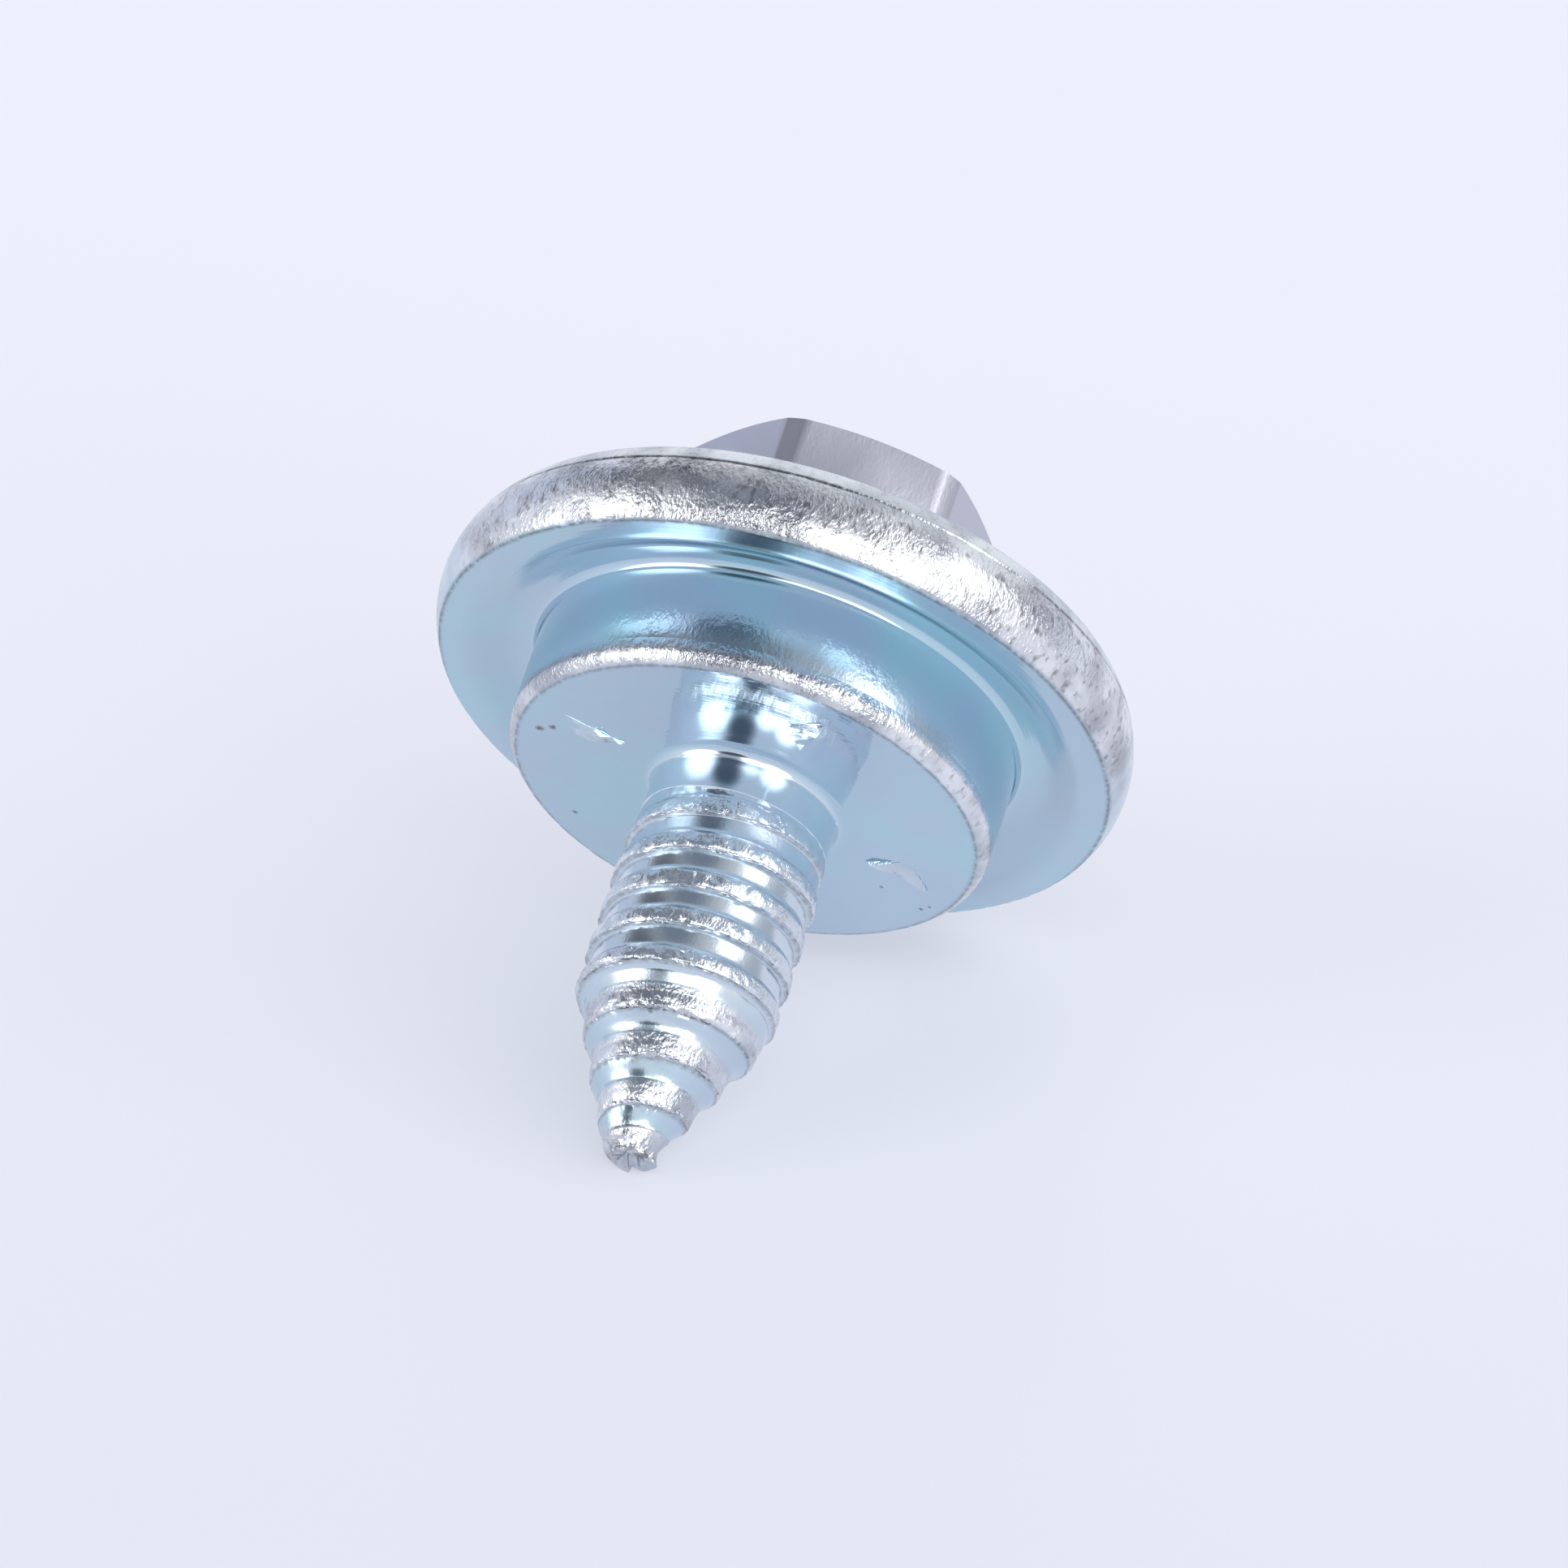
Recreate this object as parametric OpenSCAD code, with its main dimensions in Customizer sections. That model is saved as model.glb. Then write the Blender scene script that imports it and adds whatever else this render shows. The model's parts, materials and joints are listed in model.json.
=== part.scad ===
// Self-tapping screw with a hexagon head, a thick round flange, a shoulder collar under it
// with four locking nibs, and a coarse thread that runs out into a cone point. Zinc-plated
// steel, headed and rolled from one piece of wire. It lies as it comes to rest, on the
// flange's rim and on its point.
// All sizes in millimetres.

/* [Hexagon] */
// Width across the hexagon's flats
hex_across_flats = 8; // [7:0.1:10]
// Width across the hexagon's blunted corners
hex_across_corners = 8.95; // [7.2:0.05:11.5]
// Height from the seat under the flange to the top of the hexagon
head_height = 7; // [5:0.1:10]
// Diameter of the flat on top of the hexagon, inside its chamfer
hex_top_diameter = 7.2; // [5:0.1:9]
// Slope of the chamfer round the hexagon's top, in degrees
hex_chamfer_angle = 18; // [5:1:45]
// Turn of the hexagon about the screw's axis, in degrees
hex_turn = 23; // [0:1:60]

/* [Flange] */
// Largest diameter of the flange, at the belly of its rounded rim
flange_diameter = 19.2; // [16:0.1:26]
// Thickness of the flange at its rim
flange_thickness = 2.6; // [1.8:0.1:3.6]
// Radius of the rim's rounding, seen in section
rim_radius = 2.15; // [1.8:0.05:5]
// Height of the rim's belly above the seat
rim_belly_height = 1.1; // [0.6:0.05:1.6]
// Rise of the flange's top from its rim to the middle
flange_top_rise = 0.6; // [0.1:0.1:1.2]
// Width of the flat seat ring inside the flange's lower edge
seat_width = 0.8; // [0.3:0.1:1.5]
// Depth of the shallow hollow between the seat ring and the collar
hollow_depth = 0.55; // [0.1:0.05:0.8]
// Width of the hollow's flat floor, outside the collar's fillet
hollow_floor_width = 0.5; // [0.2:0.05:0.8]

/* [Collar] */
// Diameter of the collar's round wall
collar_diameter = 13.3; // [10:0.1:14]
// Height from the seat to the collar's flat face
collar_height = 2.62; // [1.8:0.02:5]
// Radius of the fillet between the collar's wall and the flange
collar_fillet_radius = 0.3; // [0.1:0.05:0.6]
// Radius of the rounding at the collar's lower edge
collar_edge_radius = 0.55; // [0.3:0.05:0.8]
// Share of that rounding left above the crisp edge of the flat face
collar_edge_share = 0.87; // [0.5:0.01:0.95]
// Number of small locking nibs raised on the collar's face
nib_count = 4; // [1:1:8]
// Length of a nib's steep side, along the radius
nib_length = 2.2; // [1:0.1:2.6]
// Width of a nib's ramp, round the face
nib_width = 0.9; // [0.4:0.05:1.4]
// Height of a nib above the face
nib_height = 0.14; // [0.05:0.01:0.3]
// Turn of the nibs' steep sides about the screw's axis, in degrees
nib_turn = 34; // [0:1:90]

/* [Neck] */
// Diameter of the plain neck between collar and thread
neck_diameter = 5.1; // [4.8:0.05:5.35]
// Length of the plain neck
neck_length = 1.2; // [0.6:0.05:3]
// Radius of the fillet between neck and collar
neck_fillet_radius = 0.3; // [0.1:0.05:0.6]

/* [Thread] */
// Outside diameter of the thread
thread_diameter = 5.45; // [5.4:0.05:6.3]
// Diameter at the bottom of the thread's groove
root_diameter = 4.8; // [3.6:0.05:4.9]
// Rise of the thread in one turn
thread_pitch = 1.18; // [0.9:0.02:1.8]
// Width of the broad land on top of the thread, on the round part of the shank
crest_width = 0.5; // [0.2:0.02:0.6]
// Width of the narrow land on top of the thread, on the point
point_crest_width = 0.12; // [0.05:0.01:0.25]
// Turn of the thread about the screw's axis, in degrees
thread_turn = 87; // [0:1:360]

/* [Point] */
// Length from the collar's face to the end of the point
shank_length = 11.4; // [9:0.1:25]
// Angle of the cone that the thread's tops follow at the point
point_angle = 48; // [36:1:60]
// Diameter of the blunt core at the end of the point
point_end_diameter = 1.1; // [0.5:0.05:1.4]
// Rounding of the blunt end, drawn as a chamfer
point_end_chamfer = 0.12; // [0.02:0.01:0.2]
// Share of a turn over which the thread rises from the end of the point
point_rise_share = 0.5; // [0.1:0.05:1]

/* [Rest] */
// Roll of the screw about its own axis as it lies, in degrees
rest_roll = 1; // [-5:0.5:5]

/* [Hidden] */
$fa = 3;
$fs = 0.1;
// Lengths that let one solid run into the next
lap = 0.2;
steel_colour = [0.72, 0.78, 0.84];

// Heights are measured along the screw's axis from the seat, towards the head
face_z = -collar_height;
neck_end_z = face_z - neck_length;
point_z = face_z - shank_length;

// The rim's rounding in section: its middle and where it meets the seat
rim_middle_r = flange_diameter / 2 - rim_radius;
seat_edge_r = rim_middle_r + sqrt(pow(rim_radius, 2) - pow(rim_belly_height, 2));
seat_edge_angle = asin(rim_belly_height / rim_radius);
top_edge_height = flange_thickness - rim_belly_height;
top_edge_r = rim_middle_r + sqrt(max(0, pow(rim_radius, 2) - pow(top_edge_height, 2)));

// The collar, its fillet and the hollow round it
collar_r = collar_diameter / 2;
fillet_middle_r = collar_r + collar_fillet_radius;
fillet_middle_z = hollow_depth - collar_fillet_radius;
hollow_r = fillet_middle_r + hollow_floor_width;
seat_inner_r = max(seat_edge_r - seat_width, hollow_r + lap);
edge_middle_r = collar_r - collar_edge_radius;
edge_middle_z = face_z + collar_edge_radius * collar_edge_share;
face_r = edge_middle_r + collar_edge_radius * sqrt(1 - pow(collar_edge_share, 2));

// The neck
neck_r = neck_diameter / 2;
neck_fillet_middle_r = neck_r + neck_fillet_radius;
neck_fillet_middle_z = face_z - neck_fillet_radius;

// A nib on the collar's face: a triangle that stands in the collar, with a ridge along its
// steep side and a ramp from there to its far corner
nib_middle_r = (neck_fillet_middle_r + face_r) / 2;
nib_half = min(nib_length, 0.8 * (face_r - neck_fillet_middle_r)) / 2;
nib_start = lap / 10;
NIB_OUTLINE = [[-nib_half, 0], [0, -nib_width], [nib_half, 0]];
NIB_RIDGE = [-0.7 * nib_half, 0.7 * nib_half];
nib_points = concat(
    [for (p = NIB_OUTLINE) [p.x, p.y, nib_start]],
    [for (p = NIB_OUTLINE) [p.x, p.y, lap]],
    [for (x = NIB_RIDGE) [x, -nib_width / 8, -nib_height]]
);
nib_faces = [
    [5, 4, 3],
    [3, 4, 1, 0],
    [4, 5, 2, 1],
    [5, 3, 0, 2],
    [1, 6, 0],
    [2, 7, 1],
    [0, 6, 7],
    [0, 7, 2],
    [6, 1, 7],
];

// The thread's section over one pitch, as shares of the thread's height and of the pitch: the
// rolled land is broad on the round part of the shank and narrow on the point
ROW_HEIGHTS = [0, 0.06, 0.5, 0.88, 1, 0.5, 0.06];
ROWS = len(ROW_HEIGHTS);
crest_half = min(crest_width / thread_pitch, 0.5) / 2;
edge_half = point_crest_width / thread_pitch / 2;
ROUND_SHARES = concat([0], section_shares(0.63, crest_half, 0.12));
POINT_SHARES = concat([0], section_shares(0.5, edge_half, 0.38));
function section_shares(middle, half, flank) = concat(
    [for (s = [1, 0.5, 0]) middle - half - s * flank],
    [for (s = [0, 0.5, 1]) middle + half + s * flank]
);
STEPS = 40;
TURNS = ceil((shank_length - neck_length + lap) / thread_pitch);
LAST = TURNS * STEPS;

// Radii of the thread's tops and roots along the axis
blank_r = neck_r - lap / 4;
crest_r = thread_diameter / 2;
root_r = root_diameter / 2;
end_r = point_end_diameter / 2;
cone_slope = tan(point_angle / 2);
end_crest_r = end_r + lap / 2;
cone_start_z = point_z + (crest_r - end_crest_r) / cone_slope;
function share(value) = max(0, min(1, value));
function top_r(z) = min(crest_r, end_crest_r + (z - point_z) * cone_slope);
function groove_r(z) = end_r + (root_r - end_r) * share((z - point_z) / (cone_start_z - point_z));
function run_in(z) = share((neck_end_z - z) / thread_pitch);
function rise(turns) = share(turns / point_rise_share);
function broad(turns) = share((point_z + turns * thread_pitch - cone_start_z) / thread_pitch / 2 + 1);
function row_share(row, turns) =
    POINT_SHARES[row] + broad(turns) * (ROUND_SHARES[row] - POINT_SHARES[row]);
function thread_r(z, height, turns) =
    let (groove = min(groove_r(z), top_r(z)))
    let (full = groove + height * rise(turns) * (top_r(z) - groove))
    blank_r + run_in(z) * (full - blank_r);

// One point of the thread's skin: a step round the axis and a row of the section
function skin_point(step, row) =
    let (turns = step / STEPS)
    let (z = point_z + thread_pitch * (turns + row_share(row, turns)))
    let (r = thread_r(z, ROW_HEIGHTS[row], turns))
    let (angle = thread_turn + 360 * turns)
    [r * cos(angle), r * sin(angle), z];

// The first row runs one turn further than the others, because each turn's last edge is the
// next turn's first
FIRST_ROW = LAST + STEPS + 1;
skin_points = concat(
    [for (step = [0:LAST + STEPS]) skin_point(step, 0)],
    [for (row = [1:ROWS - 1]) for (step = [0:LAST]) skin_point(step, row)],
    [[0, 0, point_z + lap / 2], [0, 0, point_z + thread_pitch * (TURNS + 0.5)]]
);
END_POINT = len(skin_points) - 2;
HEAD_POINT = len(skin_points) - 1;
function at(step, row) =
    row == 0 ? step : row == ROWS ? step + STEPS : FIRST_ROW + (row - 1) * (LAST + 1) + step;
skin_faces = concat(
    [for (step = [0:LAST - 1]) for (row = [0:ROWS - 1])
        [at(step, row), at(step, row + 1), at(step + 1, row + 1)]],
    [for (step = [0:LAST - 1]) for (row = [0:ROWS - 1])
        [at(step, row), at(step + 1, row + 1), at(step + 1, row)]],
    [for (step = [0:STEPS - 1]) [END_POINT, at(step, 0), at(step + 1, 0)]],
    [for (row = [0:ROWS - 1]) [END_POINT, at(0, row + 1), at(0, row)]],
    [for (step = [LAST - STEPS:LAST - 1]) [HEAD_POINT, at(step + 1, ROWS), at(step, ROWS)]],
    [for (row = [0:ROWS - 1]) [HEAD_POINT, at(LAST, row), at(LAST, row + 1)]]
);

// The core inside the first turns of the thread, just under the bottom of the groove
core_z = point_z + 1.5 * thread_pitch;
core_r = groove_r(core_z) - lap / 10;
core_chamfer = min(point_end_chamfer, end_r / 2);
CORE_EDGE = [[end_r - core_chamfer, point_z], [end_r, point_z + core_chamfer]];

// The tilt at which the rim and a point of the thread both touch the ground, and the lowest
// such tilt, at which the screw comes to rest
function rim_tilt(p) =
    let (out = rim_middle_r - p.y)
    let (along = rim_belly_height - p.z)
    atan2(out, along) + asin(rim_radius / norm([out, along]));
function edge_tilt(p) = atan2(seat_edge_r - p.y, -p.z);
function rest_tilt(p) = rim_tilt(p) <= seat_edge_angle ? rim_tilt(p) : edge_tilt(p);
rolled_points = [for (p = skin_points) [0, p.x * sin(rest_roll) + p.y * cos(rest_roll), p.z]];
tilt = min(concat(
    [for (i = [0:END_POINT - 1]) rest_tilt(rolled_points[i])],
    [for (p = CORE_EDGE) rest_tilt([0, p.x, p.y])]
));
rest_height = tilt <= seat_edge_angle
    ? rim_middle_r * cos(tilt) - rim_belly_height * sin(tilt) + rim_radius
    : seat_edge_r * cos(tilt);

// The middle of its length on the ground, between the point and the far edge of the hexagon
function ground_y(r, z) = r * sin(tilt) + z * cos(tilt);
corner_r = hex_across_corners / 2;
top_r_flat = hex_top_diameter / 2;
corner_z = head_height - max(0, corner_r - top_r_flat) * tan(hex_chamfer_angle);
chamfer_foot_r = flange_diameter / 2;
chamfer_foot_z = head_height - (chamfer_foot_r - top_r_flat) * tan(hex_chamfer_angle);
back_y = max(ground_y(top_r_flat, head_height), ground_y(corner_r, corner_z));
front_y = min(concat(
    [for (p = rolled_points) ground_y(p.y, p.z)],
    [for (p = CORE_EDGE) ground_y(-p.x, p.y)]
));

// Hexagon with blunted corners and a shallow chamfer round its top
module hexagon() {
    color(steel_colour)
    intersection() {
        rotate([0, 0, hex_turn])
            linear_extrude(height = head_height)
                intersection() {
                    circle(d = hex_across_flats / cos(30), $fn = 6);
                    circle(d = hex_across_corners);
                }
        rotate_extrude()
            polygon([
                [0, 0],
                [chamfer_foot_r, 0],
                [chamfer_foot_r, chamfer_foot_z],
                [top_r_flat, head_height],
                [0, head_height],
            ]);
    }
}

// Flange section: a belly-shaped rim between the seat and a low cone on top
module flange_section() {
    intersection() {
        union() {
            square([rim_middle_r, flange_thickness + flange_top_rise]);
            translate([rim_middle_r, rim_belly_height])
                circle(r = rim_radius);
        }
        polygon([
            [0, hollow_depth],
            [hollow_r, hollow_depth],
            [seat_inner_r, 0],
            [flange_diameter, 0],
            [flange_diameter, flange_thickness],
            [top_edge_r, flange_thickness],
            [0, flange_thickness + flange_top_rise],
        ]);
    }
}

// Collar section: a round wall, a rounded lower edge cut off by the flat face, and a fillet
// in the corner under the flange
module collar_section() {
    translate([0, edge_middle_z])
        square([collar_r, hollow_depth + lap - edge_middle_z]);
    intersection() {
        translate([edge_middle_r, edge_middle_z])
            circle(r = collar_edge_radius);
        translate([edge_middle_r, face_z])
            square([collar_diameter, collar_height]);
    }
    translate([0, face_z])
        square([edge_middle_r, collar_height]);
    difference() {
        polygon([
            [collar_r - lap, fillet_middle_z],
            [fillet_middle_r, fillet_middle_z],
            [fillet_middle_r, hollow_depth + lap],
            [collar_r - lap, hollow_depth + lap],
        ]);
        translate([fillet_middle_r, fillet_middle_z])
            circle(r = collar_fillet_radius);
    }
}

// Neck section: a plain stem with a fillet at the collar and a short cone into the thread
module neck_section() {
    polygon([
        [0, face_z + lap],
        [neck_r, face_z + lap],
        [neck_r, neck_end_z],
        [root_r - lap, neck_end_z - (neck_r - root_r + lap)],
        [0, neck_end_z - (neck_r - root_r + lap)],
    ]);
    difference() {
        polygon([
            [neck_r - lap, neck_fillet_middle_z],
            [neck_fillet_middle_r, neck_fillet_middle_z],
            [neck_fillet_middle_r, face_z + lap],
            [neck_r - lap, face_z + lap],
        ]);
        translate([neck_fillet_middle_r, neck_fillet_middle_z])
            circle(r = neck_fillet_radius);
    }
}

// Flange, collar and neck, turned from one section
module turned_body() {
    color(steel_colour)
    rotate_extrude()
        union() {
            flange_section();
            collar_section();
            neck_section();
        }
}

// Small ramps on the collar's face, whose steep sides bite into the part that is clamped
module nibs() {
    color(steel_colour)
    for (i = [0:nib_count - 1])
        rotate([0, 0, nib_turn + i * 360 / nib_count])
            translate([nib_middle_r, 0, face_z])
                polyhedron(points = nib_points, faces = nib_faces);
}

// Thread and point as one skin wound up from the point into the neck
module threaded_shank() {
    color(steel_colour)
    polyhedron(points = skin_points, faces = skin_faces);
}

// Blunt core of the point, which the first turns of the thread are wound on
module point_core() {
    color(steel_colour)
    rotate_extrude()
        polygon(concat([[0, point_z]], CORE_EDGE, [[core_r, core_z], [0, core_z]]));
}

// The whole screw, tipped over to lie on its rim and point, with the point towards the front
module screw() {
    translate([0, -(back_y + front_y) / 2, rest_height])
        rotate([tilt - 90, 0, 0])
            rotate([0, 0, rest_roll])
                union() {
                    hexagon();
                    turned_body();
                    nibs();
                    threaded_shank();
                    point_core();
                }
}

screw();
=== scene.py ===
# %% [markdown]
# # Self-tapping screw with a hexagon, a thick flange and a shoulder collar
# The screw is one piece of steel, zinc-plated, and lies on the rim of its flange and on its
# point. The solid model gives its frame: this lesson builds the same screw again as one fine
# mesh, with the ragged thread, the soft edges and the plating that the eye looks for.

# %% The frame
import json
import math

import bpy
import numpy as np
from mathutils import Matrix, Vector, noise

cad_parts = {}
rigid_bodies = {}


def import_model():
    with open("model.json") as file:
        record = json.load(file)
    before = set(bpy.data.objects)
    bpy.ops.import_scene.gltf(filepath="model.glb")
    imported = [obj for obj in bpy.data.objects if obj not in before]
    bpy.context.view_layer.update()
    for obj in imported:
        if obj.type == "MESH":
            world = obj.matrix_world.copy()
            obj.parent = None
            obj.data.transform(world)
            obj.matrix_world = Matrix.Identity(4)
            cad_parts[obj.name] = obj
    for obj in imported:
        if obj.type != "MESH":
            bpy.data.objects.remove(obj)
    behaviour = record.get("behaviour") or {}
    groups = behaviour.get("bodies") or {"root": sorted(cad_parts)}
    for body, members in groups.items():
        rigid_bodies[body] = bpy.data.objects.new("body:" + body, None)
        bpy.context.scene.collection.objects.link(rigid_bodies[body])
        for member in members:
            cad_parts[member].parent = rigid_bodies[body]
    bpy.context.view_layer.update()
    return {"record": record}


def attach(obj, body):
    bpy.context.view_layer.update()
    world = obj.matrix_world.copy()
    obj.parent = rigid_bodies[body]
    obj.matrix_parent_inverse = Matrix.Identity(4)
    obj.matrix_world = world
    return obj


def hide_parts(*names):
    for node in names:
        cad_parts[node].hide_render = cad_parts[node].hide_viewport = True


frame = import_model()

# %% [markdown]
# ## Where the screw lies
# The screw is modelled upright, in millimetres, with its axis on Z, the head up and the seat
# under the flange at height 0. It could be modelled lying down, but sections and spins are
# far easier round an upright axis, so it is tipped over at the end, in one move. The record
# of the solid model holds the place and direction of the seat, so the move is read from there.

# %% The seat's place and the screw's tilt
mounts = {mount["name"]: mount for mount in frame["record"]["mounts"]}
SEAT = Vector((0, *mounts["seat"]["pos_m"][1:]))
TO_POINT = Vector(mounts["seat"]["axis"])
TILT = math.atan2(-TO_POINT.z, -TO_POINT.y)
MM = 0.001
print("tilt, degrees:", round(math.degrees(TILT), 3), "seat, m:", [round(v, 5) for v in SEAT])

# %% [markdown]
# ## Sections
# A turned part is drawn as half of its section and spun. By hand that is one vertex,
# extruded from corner to corner. A curve would do too, but the extruded vertex puts each
# corner just where the drawing has it. Two small helpers give the points of a round: a true
# arc, and a soft bend between two points.

# %% Points of a round
def arc(middle, radius, start, end, steps):
    """Points of an arc in the section, by its angles in degrees."""
    angles = [math.radians(start + (end - start) * i / steps) for i in range(steps + 1)]
    return [(middle[0] + radius * math.cos(a), middle[1] + radius * math.sin(a)) for a in angles]


def bend(start, corner, end, steps):
    """Points of a soft bend from start to end, drawn towards the corner."""
    shares = [i / steps for i in range(steps + 1)]
    return [
        tuple((1 - t) ** 2 * a + 2 * t * (1 - t) * c + t * t * b for a, c, b in zip(start, corner, end))
        for t in shares
    ]


print("points of a quarter round:", len(arc((0, 0), 1, 0, 90, 8)))

# %% Drawing a section and spinning it
CLOSE = 0.0005


def draw_section(name, points, turn=0.0):
    """One vertex, extruded through (radius, height) points in the half-plane at that turn."""
    across = Vector((math.cos(turn), math.sin(turn), 0))
    places = [across * r + Vector((0, 0, z)) for r, z in points]
    bpy.ops.object.select_all(action="DESELECT")
    bpy.ops.mesh.primitive_plane_add(size=1)
    line = bpy.context.object
    line.name = name
    bpy.ops.object.mode_set(mode="EDIT")
    bpy.ops.mesh.select_mode(type="VERT")
    bpy.ops.mesh.select_all(action="SELECT")
    bpy.ops.mesh.merge(type="CENTER")
    bpy.ops.transform.translate(value=places[0])
    for a, b in zip(places, places[1:]):
        bpy.ops.mesh.extrude_region_move(TRANSFORM_OT_translate={"value": b - a})
    return line


def spin_section(steps):
    """Spins the section that is open in edit mode, closes it and turns its faces outwards."""
    bpy.ops.mesh.select_all(action="SELECT")
    bpy.ops.mesh.spin(steps=steps, angle=2 * math.pi, center=(0, 0, 0), axis=(0, 0, 1))
    bpy.ops.mesh.select_all(action="SELECT")
    bpy.ops.mesh.remove_doubles(threshold=CLOSE)
    bpy.ops.mesh.normals_make_consistent(inside=False)
    bpy.ops.object.mode_set(mode="OBJECT")


print("points closer than this are merged, mm:", CLOSE)

# %% [markdown]
# ## Flange, collar and neck
# The head was forged: a thick flange with a barrel-shaped rim, a low cone on top, and under
# it a flat seat, a shallow hollow and the shoulder collar. The collar's lower corner is
# rounded and then cut off by its flat face, which leaves a crisp edge. A fine groove sets off
# the upper band of the rim. A stack of cylinders could be joined and beveled, but all of it
# is round, so one section and one spin make it with every fillet in place.

# %% The section's sizes, in millimetres
RIM_R, RIM_ROUND, BELLY_Z = 9.597, 2.15, 1.1
FLANGE_TOP, FLANGE_RISE = 2.6, 0.6
SEAT_WIDTH, HOLLOW = 0.8, 0.55
COLLAR_R, FACE_Z, FILLET = 6.65, -2.62, 0.3
EDGE_ROUND, EDGE_SHARE = 0.55, 0.87
NECK_R, NECK_FILLET, NECK_LENGTH, WAIST = 2.55, 0.3, 1.2, 0.04
GROOVE_AT, GROOVE_DEPTH = 24, 0.03

rim_middle = (RIM_R - RIM_ROUND, BELLY_Z)
rim_low = -math.degrees(math.asin(BELLY_Z / RIM_ROUND))
rim_high = math.degrees(math.asin((FLANGE_TOP - BELLY_Z) / RIM_ROUND))
seat_r = arc(rim_middle, RIM_ROUND, rim_low, 0, 1)[0][0]
top_r = arc(rim_middle, RIM_ROUND, rim_high, 0, 1)[0][0]
edge_middle = (COLLAR_R - EDGE_ROUND, FACE_Z + EDGE_ROUND * EDGE_SHARE)
edge_low = -math.degrees(math.asin(EDGE_SHARE))
face_r = arc(edge_middle, EDGE_ROUND, edge_low, 0, 1)[0][0]
hollow_r = COLLAR_R + FILLET + 0.5
seat_in = seat_r - SEAT_WIDTH
print("seat edge, top edge, face edge:", [round(v, 3) for v in (seat_r, top_r, face_r)])

# %% The flange's half of the section
# The rings on the top lie close together round the hexagon's foot, where the shading needs
# them.
TOP_RINGS = (0, 4.2, 4.5, 4.8, 5.1, 5.4, 5.8, 6.3, 7.0, 8.0)
top_slope = FLANGE_RISE / top_r
hollow_slope = HOLLOW / (seat_in - hollow_r)
section = [(r, FLANGE_TOP + (top_r - r) * top_slope) for r in TOP_RINGS]
section += bend(
    (top_r - 0.1, FLANGE_TOP + 0.1 * top_slope),
    (top_r, FLANGE_TOP),
    arc(rim_middle, RIM_ROUND, rim_high - 3, 0, 1)[0],
    6,
)
section += arc(rim_middle, RIM_ROUND, rim_high - 5, GROOVE_AT + 1.5, 8)
rim_groove = arc(rim_middle, RIM_ROUND - GROOVE_DEPTH, GROOVE_AT, 0, 1)[0]
section += [rim_groove] + arc(rim_middle, RIM_ROUND, GROOVE_AT - 1.5, rim_low + 1.5, 26)
section += [(seat_r, 0), (seat_r - 0.05, 0.0), (seat_r - 0.12, 0.0)]
section += bend((seat_in + 0.25, 0), (seat_in, 0), (seat_in - 0.25, 0.25 * hollow_slope), 8)
section += bend(
    (hollow_r + 0.3, HOLLOW - 0.3 * hollow_slope),
    (hollow_r, HOLLOW),
    (hollow_r - 0.25, HOLLOW),
    8,
)
print("points of the flange:", len(section))

# %% The collar's and the neck's half, and the spin
TURN_STEPS = 288
section += arc((COLLAR_R + FILLET, HOLLOW - FILLET), FILLET, 90, 180, 10)
section += [(COLLAR_R, z) for z in (-0.2, -0.8, -1.4, -1.9)]
section += arc(edge_middle, EDGE_ROUND, 0, edge_low + 2, 14)
section += [(face_r, FACE_Z), (face_r - 0.05, FACE_Z), (face_r - 0.12, FACE_Z)]
section += [(5.2, FACE_Z), (4.0, FACE_Z), (3.2, FACE_Z)]
section += arc((NECK_R + NECK_FILLET, FACE_Z - NECK_FILLET), NECK_FILLET, 90, 180, 12)
section += bend(
    (NECK_R, FACE_Z - NECK_FILLET - 0.05),
    (NECK_R - WAIST, FACE_Z - 0.8),
    (NECK_R + 0.02, FACE_Z - NECK_LENGTH),
    10,
)
section += [(2.1, FACE_Z - 1.65), (0, FACE_Z - 1.65)]
body = draw_section("screw_steel", section)
spin_section(TURN_STEPS)
print("turned body:", len(body.data.vertices), "vertices")

# %% [markdown]
# ## Hexagon
# The hexagon's corners are blunted, its top is chamfered all round, and it grows out of the
# flange with a small fillet. A six-sided cylinder is beveled along its upright edges, its
# foot is extruded and widened in steps, and a spun cap cuts the chamfer. A bevel round the
# top would be quicker, but only a round cutter leaves the curved lines that every hexagon
# head has.

# %% The six-sided stem with blunted corners
HEX_FLATS, HEX_TOP, HEX_TURN = 8.0, 7.0, 24
HEX_CAP_R, HEX_CHAMFER = 3.6, 18
FOOT_Z, HEX_BLUNT = 3.2, 0.31
HEX_CORNER = HEX_FLATS / 2 / math.cos(math.radians(30))


def select_where(piece, kind, test):
    """Opens edit mode with only those vertices, edges or faces selected that pass the test."""
    bpy.ops.object.mode_set(mode="EDIT")
    bpy.ops.mesh.select_mode(type={"vertices": "VERT", "edges": "EDGE", "polygons": "FACE"}[kind])
    bpy.ops.mesh.select_all(action="DESELECT")
    bpy.ops.object.mode_set(mode="OBJECT")
    for item in getattr(piece.data, kind):
        item.select = test(item)
    bpy.ops.object.mode_set(mode="EDIT")


bpy.ops.object.select_all(action="DESELECT")
bpy.ops.mesh.primitive_cylinder_add(
    vertices=6, radius=HEX_CORNER, depth=HEX_TOP + 1 - FOOT_Z, location=(0, 0, (HEX_TOP + 1 + FOOT_Z) / 2)
)
hexagon = bpy.context.object
hexagon.name = "hexagon"
hexagon.rotation_euler.z = math.radians(HEX_TURN - 30)
bpy.ops.object.transform_apply(location=True, rotation=True, scale=True)


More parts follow.
